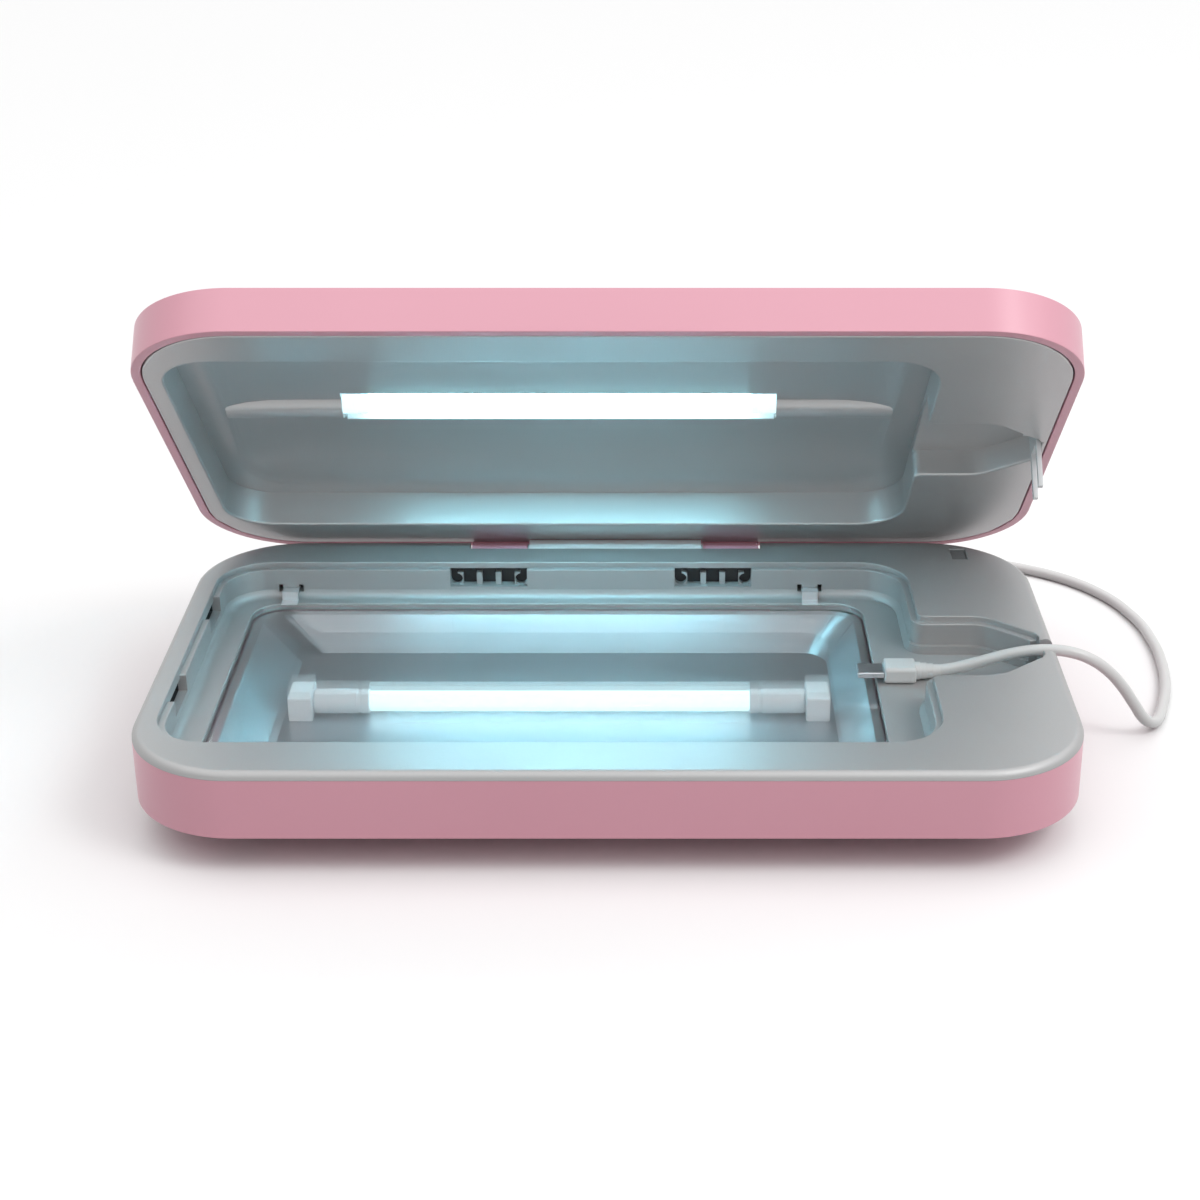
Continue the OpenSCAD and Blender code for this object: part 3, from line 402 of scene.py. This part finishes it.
NODE_SOFT = {
    "base_tray": Softening(0.3, 3, (RIM_Z, LEDGE_Z, TRAY_FLOOR_Z)),
    "lid_liner": Softening(0.6, 3, (LID_RIM_Z,), border_width=0.3),
    "lid_shell": Softening(0.3, 2, (LID_RIM_Z,)),
    "bottom_shell": Softening(0.25, 2, (SHELL_TOP_Z,)),
    "hinge_block": Softening(0.3),
    "quartz_plate": Softening(0.25),
    "phone_plug": Softening(0.6, 3),
    "port_plug": Softening(0.8, 3),
    "lamp_end_covers": Softening(0.3),
    "cable_guard": Softening(0.2),
    "base_screws": Softening(0.15),
    "lead_tie": Softening(0.15),
    "plate_clips": Softening(0.12),
    "lower_lamp_sockets": Softening(0.5),
    "upper_lamp_sockets": Softening(0.3),
    "control_board": Softening(0.1),
    "charge_board": Softening(0.1),
    "lamp_inverter": Softening(0.6),
    "lid_sensor_window": Softening(0.15),
    "lid_sensor": Softening(0.2),
    "base_magnets": Softening(0.25),
    "lid_magnets": Softening(0.25),
    "sensor_magnet": Softening(0.25),
    "status_lens": Softening(0.2),
    "hinge_screws": Softening(0.2),
    "lower_reflector": Softening(0.2),
    "port_plug_shell": Softening(0.2),
    "phone_plug_tip": Softening(0.3, 3),
    "power_inlet": Softening(0.15),
    "hinge_pins": Softening(0.2),
}


@dataclass
class Workshop:
    """Holds the materials and turns bmeshes into finished pieces."""

    materials: dict[str, bpy.types.Material] = field(default_factory=dict)

    def stock(self) -> None:
        """Builds the shared groups and every finish's material."""
        groups = {g.name: g for g in (grain_group(), drift_group(), brushed_group())}
        for finish in FINISHES:
            self.materials[finish.name] = finish.material(groups)

    def piece(self, bm: bmesh.types.BMesh, name: str, body: Body, finish: str,
              stands_for: tuple[str, ...] = (), crease: float = 32.0) -> bpy.types.Object:
        """Turns a bmesh into a smooth-shaded piece that rides on a body.

        Args:
            bm: the mesh, in metres, in the shared frame. It is freed.
            name: name of the piece.
            body: the body it moves with.
            finish: name of its finish.
            stands_for: CAD nodes that it replaces.
            crease: angle in degrees past which an edge stays sharp.

        Returns:
            The new object.
        """
        for face in bm.faces:
            face.smooth = True
        limit = math.radians(crease)
        for edge in bm.edges:
            edge.smooth = len(edge.link_faces) == 2 and edge.calc_face_angle(math.pi) < limit
        mesh = bpy.data.meshes.new(name)
        bm.to_mesh(mesh)
        bm.free()
        made = bpy.data.objects.new(name, mesh)
        bpy.context.scene.collection.objects.link(made)
        made.data.materials.append(self.materials[finish])
        weighted = made.modifiers.new("weighted", "WEIGHTED_NORMAL")
        weighted.keep_sharp = True
        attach(made, body.value)
        if stands_for:
            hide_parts(*stands_for)
        LOG.info("piece %s: %d faces", name, len(mesh.polygons))
        return made


def node_body(node: str) -> Body:
    """The body that a CAD node belongs to."""
    return Body(frame["nodes"][node]["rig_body"])


def from_node(node: str) -> bmesh.types.BMesh:
    """Copies and welds a CAD node's mesh, and joins its flat faces.

    Args:
        node: name of the node.

    Returns:
        The copy, in metres.
    """
    bm = bmesh.new()
    bm.from_mesh(frame["nodes"][node].data)
    bmesh.ops.remove_doubles(bm, verts=bm.verts, dist=MERGE)
    bmesh.ops.dissolve_limit(bm, angle_limit=math.radians(FLAT_ANGLE), verts=bm.verts, edges=bm.edges)
    return bm


def soften(bm: bmesh.types.BMesh, edges: list[bmesh.types.BMEdge], width: float, segments: int,
           clamp: bool = True) -> None:
    """Rounds the given edges.

    Args:
        bm: the mesh that the edges are in.
        edges: the edges to round.
        width: reach of the rounding on each side, in metres.
        segments: faces across the rounding.
        clamp: whether the reach stops where roundings would meet.
    """
    bmesh.ops.bevel(bm, geom=edges, offset=width, offset_type="OFFSET", segments=segments, profile=0.5,
                    affect="EDGES", material=-1, clamp_overlap=clamp)


def outer_edges(bm: bmesh.types.BMesh, least: float) -> list[bmesh.types.BMEdge]:
    """The edges that stick out and are sharper than least degrees."""
    limit = math.radians(least)
    return [e for e in bm.edges if len(e.link_faces) == 2 and e.calc_face_angle_signed(0.0) > limit]


def in_border(point: Vector) -> bool:
    """Whether a point of the closed lid's liner is near its outside and not near its opening."""
    return abs(point.y) > LINER_BORDER_Y * MM or abs(point.x) > LINER_BORDER_X * MM


def dress(bm: bmesh.types.BMesh, plan: Softening, closed: Callable[[Vector], Vector]) -> None:
    """Rounds a node's mesh as its softening says.

    Args:
        bm: the node's mesh.
        plan: its softening.
        closed: gives the place that a point has when the box is closed.
    """
    edges = outer_edges(bm, plan.least)
    if not plan.levels:
        soften(bm, edges, plan.width * MM, plan.segments)
        return
    near = 0.02 * MM
    level = [e for e in edges
             if any(all(abs(closed(v.co).z - z * MM) < near for v in e.verts) for z in plan.levels)]
    if not plan.border_width:
        soften(bm, level, plan.width * MM, plan.segments, clamp=False)
        return
    inner = [e for e in level if not any(in_border(closed(v.co)) for v in e.verts)]
    soften(bm, inner, plan.width * MM, plan.segments, clamp=False)
    rim = plan.levels[0] * MM
    border = [e for e in outer_edges(bm, plan.least)
              if all(abs(closed(v.co).z - rim) < near and in_border(closed(v.co)) for v in e.verts)]
    soften(bm, border, plan.border_width * MM, plan.segments, clamp=False)


@dataclass
class LidFrame:
    """Where the lid stands at rest, so that its pieces can be built closed and opened."""

    hinge: Vector
    angle: float

    def opened(self, bm: bmesh.types.BMesh) -> None:
        """Turns a mesh that was built with the lid closed to the lid's place at rest."""
        bmesh.ops.rotate(bm, cent=self.hinge, matrix=Matrix.Rotation(-self.angle, 3, "X"), verts=bm.verts)

    def closed(self, point: Vector) -> Vector:
        """The place that a point of the open lid has when the lid is closed."""
        return Matrix.Rotation(self.angle, 3, "X") @ (point - self.hinge) + self.hinge


def lid_frame() -> LidFrame:
    """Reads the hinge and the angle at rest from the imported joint."""
    joint = next(j for j in frame["joints"] if j["name"] == "lid_hinge")
    return LidFrame(Vector(joint["pos_m"]), math.radians(-joint["range_deg"][0]))


# Turned parts


def turned(bm: bmesh.types.BMesh, profile: list[tuple[float, float]], centre: Vector, axis: Vector,
           sides: int = 40) -> None:
    """Adds a body of revolution to a mesh.

    Args:
        bm: the mesh that it is added to.
        profile: place along the axis and radius of each ring, in millimetres.
        centre: where nought on the axis lies, in metres.
        axis: direction of the axis, of length one.
        sides: faces round the axis.
    """
    side = axis.orthogonal().normalized()
    ring = [bm.verts.new(centre + axis * along * MM + side * radius * MM) for along, radius in profile]
    wire = [bm.edges.new(pair) for pair in zip(ring, ring[1:])]
    bmesh.ops.spin(bm, geom=ring + wire, cent=centre, axis=axis, angle=2 * math.pi, steps=sides,
                   use_merge=True)
    bmesh.ops.remove_doubles(bm, verts=bm.verts, dist=MERGE)
    bmesh.ops.recalc_face_normals(bm, faces=bm.faces)


@dataclass
class Lamp:
    """A lamp: a glass tube and a cap with a collar on each end. Sizes are in millimetres."""

    side: str
    body: Body
    height: float
    glass: str
    cap: str
    middle: float = -13.0
    tube_r: float = 2.6
    tube_len: float = 95.0
    cap_r: float = 3.1
    cap_len: float = 14.0
    drawn_in: float = 0.3

    def glass_mesh(self) -> bmesh.types.BMesh:
        """The glass, drawn in a little at each end where it goes into its cap.

        Returns:
            The mesh, in metres, with the lid closed.
        """
        half, r, d = self.tube_len / 2, self.tube_r, self.drawn_in
        bm = bmesh.new()
        turned(bm, [(-half, 0), (-half, r - d), (-half + d, r), (half - d, r), (half, r - d), (half, 0)],
               Vector((self.middle, 0, self.height)) * MM, Vector((1, 0, 0)))
        return bm

    def caps_mesh(self) -> bmesh.types.BMesh:
        """Both caps, with a collar at the mouth and a crimped groove behind it.

        Returns:
            The mesh, in metres, with the lid closed.
        """
        r, n = self.cap_r, self.cap_len
        profile = [(0, 0), (0, r - 0.3), (0.3, r), (2.0, r), (2.3, r - 0.25), (2.9, r - 0.25), (3.2, r),
                   (n - 0.5, r), (n, r - 0.5), (n, 0)]
        bm = bmesh.new()
        for s in (-1, 1):
            start = Vector((self.middle + s * self.tube_len / 2, 0, self.height)) * MM
            turned(bm, profile, start, Vector((s, 0, 0)))
        return bm

    def build(self, shop: Workshop, lid: LidFrame) -> None:
        """Makes the glass and the caps in the place they have at rest.

        Args:
            shop: makes the pieces.
            lid: gives the lid's place at rest.
        """
        parts = ((self.glass_mesh(), "tube", self.glass), (self.caps_mesh(), "caps", self.cap))
        for bm, what, finish in parts:
            if self.body is Body.LID:
                lid.opened(bm)
            node = f"{self.side}_lamp_{what}"
            shop.piece(bm, node + "_turned", self.body, finish, (node,))


LAMPS = (
    # The upper lamp's caps carry painted light, a faint glow from the lamp.
    Lamp("upper", Body.LID, 40.0, "lit_glass", "lamp_cap"),
    Lamp("lower", Body.BASE, 10.5, "lower_lit_glass", "lower_cap"),
)


@dataclass
class Feet:
    """The four rubber feet: a round lower edge, a dished face and a moulded ring."""

    from_middle: tuple[float, float] = (72.0, 30.0)
    profile: tuple[tuple[float, float], ...] = (
        (1.5, 0), (1.5, 6), (0.5, 6), (0.15, 5.8), (0, 5.4), (0, 4.6), (0.2, 4.3), (0.2, 0),
    )

    def build(self, shop: Workshop) -> None:
        """Makes the feet as one piece.

        Args:
            shop: makes the piece.
        """
        bm = bmesh.new()
        for x in (-self.from_middle[0], self.from_middle[0]):
            for y in (-self.from_middle[1], self.from_middle[1]):
                turned(bm, list(self.profile), Vector((x, y, 0)) * MM, Vector((0, 0, 1)))
        shop.piece(bm, "feet_turned", Body.BASE, "foot_rubber", ("rubber_feet",))


@dataclass
class VentShadeSheet:
    """A black sheet behind each of the two vents in the tray's rear wall: painted shade that keeps the
    openings dark. Sizes are in millimetres.
    """

    middles: tuple[float, float] = (-33.85, 26.4)
    size: tuple[float, float, float] = (21.4, 0.4, 5.3)
    behind: float = 52.95
    height: float = 21.35
    rounding: float = 0.08

    def build(self, shop: Workshop) -> None:
        """Makes both sheets as one piece.

        Args:
            shop: makes the piece.
        """
        bm = bmesh.new()
        for x in self.middles:
            made = bmesh.ops.create_cube(bm, size=1.0)["verts"]
            bmesh.ops.scale(bm, vec=Vector(self.size) * MM, verts=made)
            bmesh.ops.translate(bm, vec=Vector((x, self.behind, self.height)) * MM, verts=made)
        soften(bm, list(bm.edges), self.rounding * MM, 2)
        # The black sheets are painted shade, standing in for the shadow inside the vent openings.
        shop.piece(bm, "vent_painted_shade", Body.BASE, "black_moulding")


# Lead


@dataclass(frozen=True)
class Sleeve:
    """The ribbed sleeve that keeps the lead from kinking where it leaves a plug, in millimetres."""

    start: tuple[float, float, float]
    heading: tuple[float, float, float]
    ribs: int = 4
    rib: float = 1.1
    gap: float = 0.5
    thick: float = 2.25
    thin: float = 1.65
    root: float = 0.5
    slope: float = 0.1
    groove: float = 0.2
    sides: int = 32

    def add(self, bm: bmesh.types.BMesh) -> None:
        """Adds the sleeve to the plug's mesh.

        Args:
            bm: the plug's mesh, in metres.
        """
        profile = [(-self.root, 0.0), (-self.root, self.thick)]
        along = 0.0
        for i in range(self.ribs):
            r = self.thick + (self.thin - self.thick) * i / (self.ribs - 1)
            low = r - self.groove
            profile += [(along, r), (along + self.rib, r), (along + self.rib + self.slope, low),
                        (along + self.rib + self.gap - self.slope, low)]
            along += self.rib + self.gap
        profile.append((along - self.gap + self.slope, 0.0))
        turned(bm, profile, Vector(self.start) * MM, Vector(self.heading), self.sides)


@dataclass
class Lead:
    """The white charging lead, from the port at the rear to the plug in the tray."""

    diameter: float = 2.9 * MM
    centre: tuple[float, float] = (80.0, 90.0)
    coil_z: float = 2.6
    pitch: float = 3.4
    layer: float = 3.4
    outside: float = 22.05
    loops_in: float = 3.5
    climb: float = 0.5
    loops: float = 7.0
    points_per_loop: int = 24
    sleeves: dict[str, Sleeve] = field(default_factory=lambda: {
        "phone_plug": Sleeve((75.7, 0.0, 18.95), (1.0, 0.0, 0.0)),
        "port_plug": Sleeve((50.0, 90.0, 14.7), (0.0, 1.0, 0.0)),
    })

    def to_coil(self) -> list[tuple[float, float, float]]:
        """The stretch from the plug in the tray, through the slot and round behind the box.

        Returns:
            Its points, in millimetres.
        """
        return [
            (75.7, 0, 18.95), (79, 0, 18.95), (84, 0, 19.5), (89, 0, 20.7), (94, 0, 22.2), (99, 0, 23.6),
            (104, 0, 24.5), (109, 0, 24.7), (114, -0.3, 24.2), (119, -0.5, 22.4), (123.5, -0.4, 19.2),
            (127.5, -0.2, 14.8), (130.8, 0, 10), (134, 0.9, 5.2), (137, 3.4, 2.6), (139.6, 8, 1.7),
            (142, 15, 1.55), (144.3, 23, 1.5), (145.9, 31, 1.5), (146.85, 39, 1.5), (147.3, 47, 1.5),
            (147.05, 55, 1.5), (146.3, 63, 1.5), (144.4, 71, 1.5), (141.8, 78.5, 1.5), (138, 85.5, 1.5),
            (133, 92, 1.5), (127, 97.4, 1.5), (120.5, 101.6, 1.5), (113.5, 105, 1.5), (106, 107.7, 1.6),
            (98.5, 109.7, 2), (91, 111.1, 2.4), (85, 111.85, 2.6),
        ]

    def coil(self) -> list[tuple[float, float, float]]:
        """The coil: in on the lower layer, up, and out on the upper one.

        Returns:
            Its points, in millimetres.
        """
        turn = self.loops_in + self.climb / 2
        points = []
        for i in range(round(self.loops * self.points_per_loop) + 1):
            t = i / self.points_per_loop
            r = self.outside - min(t, turn) * self.pitch + max(t - turn, 0) * self.pitch
            z = self.coil_z + min(max(t - self.loops_in, 0) / self.climb, 1) * self.layer
            a = math.radians(90 + 360 * t)
            points.append((self.centre[0] + r * math.cos(a), self.centre[1] + r * math.sin(a), z))
        return points

    def tail(self, start: tuple[float, float, float]) -> list[tuple[float, float, float]]:
        """The stretch from the coil to the plug in the rear port.

        Args:
            start: the coil's last point, in millimetres.

        Returns:
            Its points, in millimetres.
        """
        return [
            (start[0] - 3, start[1], start[2]), (71, 110.4, 6.8), (64.5, 109, 8.8), (58.5, 106.2, 11),
            (53.6, 102, 13), (50.8, 97, 14.3), (50, 93, 14.7), (50, 90, 14.7),
        ]

    def build(self, shop: Workshop, on_it: list[bpy.types.Object]) -> bpy.types.Object:
        """Lays the lead as one smooth round curve.

        Args:
            shop: gives the finish.
            on_it: the plugs, their shells and the tie; not used.

        Returns:
            The lead.
        """
        coil = self.coil()
        route = [Vector(p) * MM for p in self.to_coil() + coil + self.tail(coil[-1])]
        route.reverse()
        curve = bpy.data.curves.new("charge_lead_whole", "CURVE")
        curve.dimensions = "3D"
        curve.bevel_depth = self.diameter / 2
        curve.bevel_resolution = 5
        curve.resolution_u = 5
        curve.use_fill_caps = True
        spline = curve.splines.new("BEZIER")
        spline.bezier_points.add(len(route) - 1)
        for knot, point in zip(spline.bezier_points, route):
            knot.co = point
            knot.handle_left_type = knot.handle_right_type = "AUTO"
        lead = bpy.data.objects.new("charge_lead_whole", curve)
        bpy.context.scene.collection.objects.link(lead)
        lead.data.materials.append(shop.materials["lead_jacket"])
        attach(lead, Body.BASE.value)
        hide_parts("charge_lead", "lead_coil", "lead_tail")
        return lead


# Room


@dataclass
class Studio:
    """Camera, lights, world and floor, in metres."""

    place: tuple[float, float, float] = (0.01096, -0.49698, 0.26596)
    tilt: float = 65.39
    lens: float = 66.80
    shift: float = -0.0462
    world_light: float = 0.35
    floor_tone: float = 0.95
    floor_bounce: float = 0.38
    floor_half: float = 6.0
    floor_rough: float = 0.8
    sky_light: float = 1.95
    sky_spread: float = 110.0
    sky_tilt: float = 6.0
    key_place: tuple[float, float, float] = (0.72, -0.42, 0.95)
    key_aim: tuple[float, float, float] = (0.0, 0.0, 0.05)
    key_size: float = 0.45
    key_power: float = 3.4

    def camera(self) -> None:
        """Sets the camera at the photograph's viewing angle."""
        data = bpy.data.cameras.new("view")
        data.lens, data.sensor_width, data.shift_x = self.lens, 36.0, self.shift
        data.clip_start, data.clip_end = 0.01, 50.0
        view = bpy.data.objects.new("view", data)
        view.location = self.place
        view.rotation_euler = (math.radians(self.tilt), 0.0, 0.0)
        bpy.context.scene.collection.objects.link(view)
        bpy.context.scene.camera = view

    def key(self) -> None:
        """Adds the square soft light at the right."""
        data = bpy.data.lights.new("key", "AREA")
        data.size, data.energy = self.key_size, self.key_power
        light = bpy.data.objects.new("key", data)
        light.location = self.key_place
        heading = Vector(self.key_aim) - Vector(self.key_place)
        light.rotation_euler = heading.to_track_quat("-Z", "Y").to_euler()
        bpy.context.scene.collection.objects.link(light)

    def sky(self) -> None:
        """Adds the broad even light from above, whose spread softens the shadow."""
        data = bpy.data.lights.new("sky", "SUN")
        data.energy, data.angle = self.sky_light, math.radians(self.sky_spread)
        light = bpy.data.objects.new("sky", data)
        light.rotation_euler = (0.0, math.radians(self.sky_tilt), 0.0)
        bpy.context.scene.collection.objects.link(light)

    def world(self) -> None:
        """A white surround: fully white in view and in reflections, dimmer as a light."""
        made = bpy.data.worlds.new("surround")
        made.use_nodes = True
        nodes, links = made.node_tree.nodes, made.node_tree.links
        back = nodes["Background"]
        lift = nodes.new("ShaderNodeMapRange")
        lift.inputs["To Min"].default_value = self.world_light
        lift.inputs["To Max"].default_value = 1.0
        links.new(self.seen(made.node_tree), lift.inputs["Value"])
        links.new(lift.outputs["Result"], back.inputs["Strength"])
        back.inputs["Color"].default_value = (1.0, 1.0, 1.0, 1.0)
        bpy.context.scene.world = made

    def seen(self, tree: bpy.types.NodeTree) -> bpy.types.NodeSocket:
        """One where a camera, mirror or see-through ray arrives, and nought for a lighting ray.

        Args:
            tree: the world's or the material's node tree.

        Returns:
            The socket that gives it.
        """
        path = tree.nodes.new("ShaderNodeLightPath")
        total = path.outputs["Is Camera Ray"]
        for label in ("Is Glossy Ray", "Is Transmission Ray"):
            either = tree.nodes.new("ShaderNodeMath")
            either.operation = "MAXIMUM"
            tree.links.new(total, either.inputs[0])
            tree.links.new(path.outputs[label], either.inputs[1])
            total = either.outputs["Value"]
        return total

    def floor(self) -> None:
        """A pale floor that keeps the box's soft shadow."""
        bm = bmesh.new()
        bmesh.ops.create_grid(bm, x_segments=2, y_segments=2, size=self.floor_half)
        mesh = bpy.data.meshes.new("floor")
        bm.to_mesh(mesh)
        bm.free()
        floor = bpy.data.objects.new("floor", mesh)
        bpy.context.scene.collection.objects.link(floor)
        made = bpy.data.materials.new("floor_white")
        made.use_nodes = True
        shader = made.node_tree.nodes["Principled BSDF"]
        shader.inputs["Roughness"].default_value = self.floor_rough
        tone = made.node_tree.nodes.new("ShaderNodeMix")
        tone.data_type = "RGBA"
        tone.inputs[MIX_A].default_value = (*[self.floor_bounce] * 3, 1.0)
        tone.inputs[MIX_B].default_value = (*[self.floor_tone] * 3, 1.0)
        made.node_tree.links.new(self.seen(made.node_tree), tone.inputs[MIX_FACTOR])
        made.node_tree.links.new(tone.outputs[MIX_RESULT], shader.inputs["Base Color"])
        floor.data.materials.append(made)

    def build(self) -> None:
        """Sets the whole room up."""
        self.camera()
        self.world()
        self.floor()
        self.sky()
        self.key()
        bpy.context.scene.view_settings.view_transform = "Standard"


LEAD_PIECES = ("port_plug", "port_plug_shell", "phone_plug", "phone_plug_tip", "lead_tie")


@dataclass
class Dresser:
    """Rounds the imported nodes' shapes and gives them their finishes."""

    shop: Workshop
    lid: LidFrame

    def dressed(self, node: str, sleeve: Sleeve | None = None) -> bpy.types.Object:
        """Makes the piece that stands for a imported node.

        Args:
            node: name of the node.
            sleeve: the sleeve of a plug that has one.

        Returns:
            The new object.
        """
        body = node_body(node)
        bm = from_node(node)
        if node in NODE_SOFT:
            dress(bm, NODE_SOFT[node], self.lid.closed if body is Body.LID else Vector)
        if sleeve:
            sleeve.add(bm)
        return self.shop.piece(bm, node + "_dressed", body, NODE_FINISH[node], (node,))


def main() -> None:
    """Builds the room and the pieces in order, and reports each."""
    logging.basicConfig(level=logging.INFO, format="%(message)s")
    shop = Workshop()
    shop.stock()
    Studio().build()
    lid = lid_frame()
    dresser = Dresser(shop, lid)
    lead = Lead()
    lead.build(shop, [dresser.dressed(node, lead.sleeves.get(node)) for node in LEAD_PIECES])
    for node in NODE_FINISH:
        if node not in LEAD_PIECES:
            dresser.dressed(node)
    for lamp in LAMPS:
        lamp.build(shop, lid)
    Feet().build(shop)
    VentShadeSheet().build(shop)


if __name__ == "__main__":
    main()
